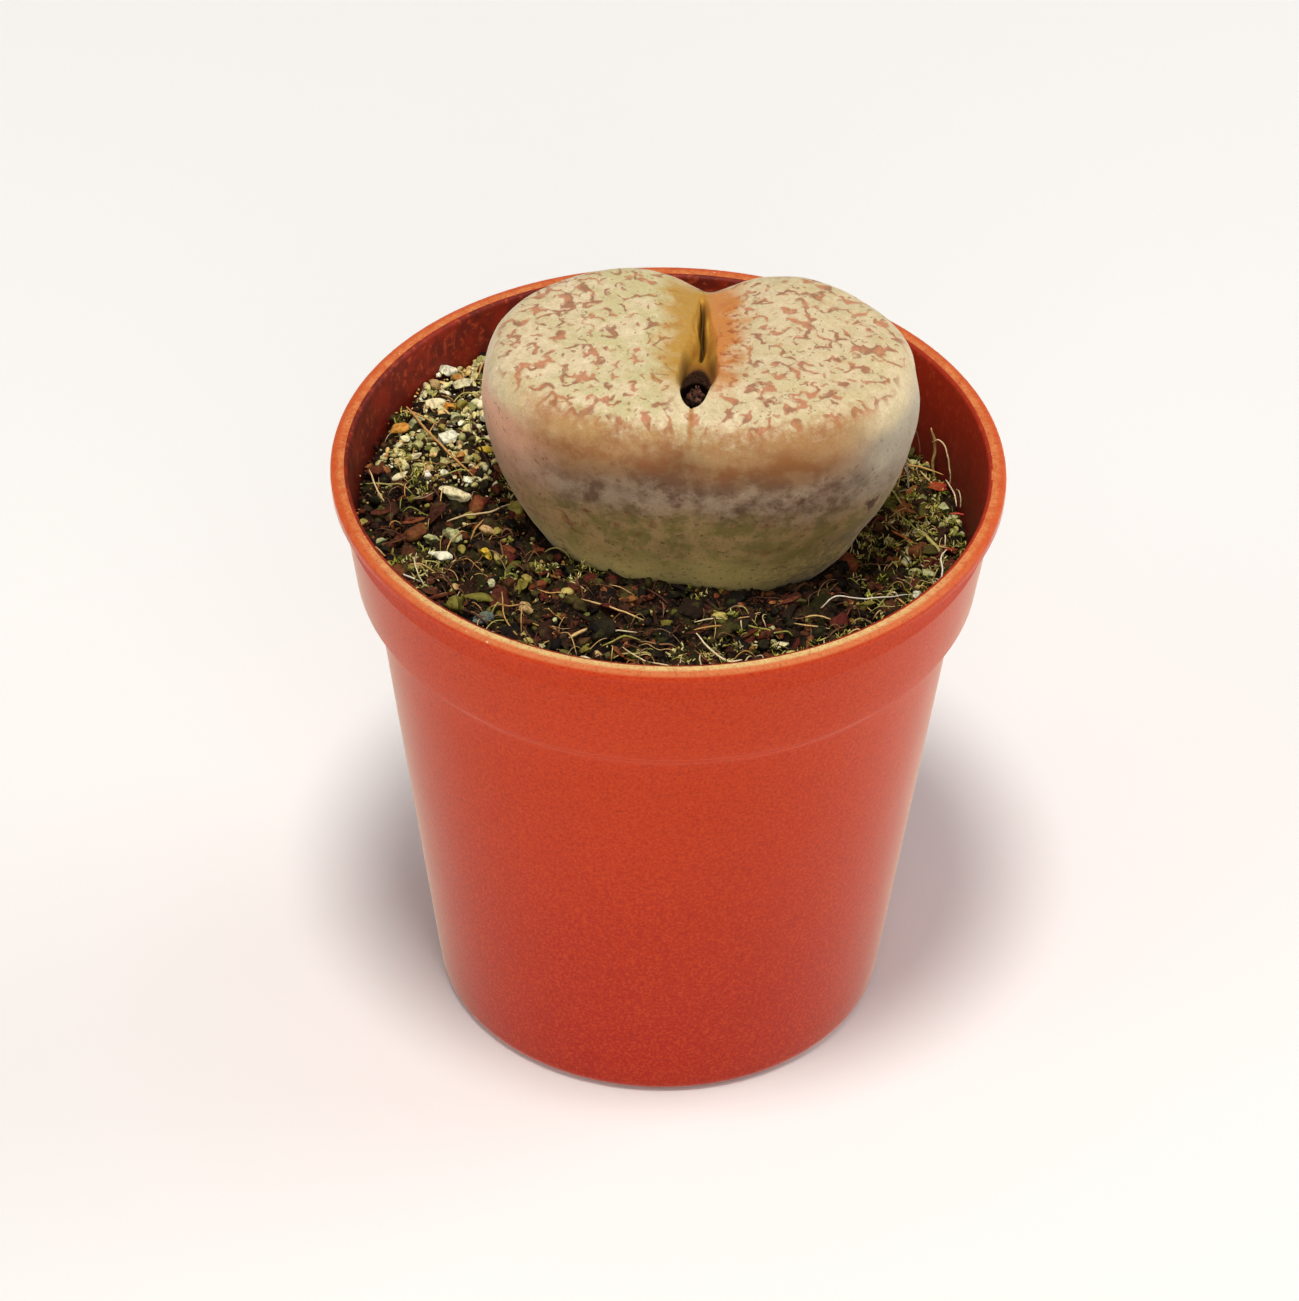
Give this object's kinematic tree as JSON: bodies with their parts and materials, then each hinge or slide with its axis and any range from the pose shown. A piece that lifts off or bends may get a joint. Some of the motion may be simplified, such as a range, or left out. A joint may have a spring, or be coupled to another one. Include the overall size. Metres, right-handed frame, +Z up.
{
  "type": "potted lithops",
  "caption": "Living-stone succulent with one pair of fused leaves, rooted in gritty soil in a small round plastic nursery pot.",
  "frame": {"origin": "centre of the pot's foot, on the surface that it stands on", "axes": "+Z up along the pot's axis; the plant's fissure runs back to front, with the dark hole at its front end towards -Y; +X to the right as seen from the front"},
  "size_m": [0.055, 0.055, 0.0632],
  "materials": {
    "pot_plastic": "satin",
    "soil_mix": "matte",
    "plant_skin": "satin",
    "dry_seed_head": "matte"
  },
  "bodies": {
    "root": {"pot": "pot_plastic", "soil": "soil_mix", "plant": "plant_skin", "seed_head": "dry_seed_head"}
  },
  "joints": []
}
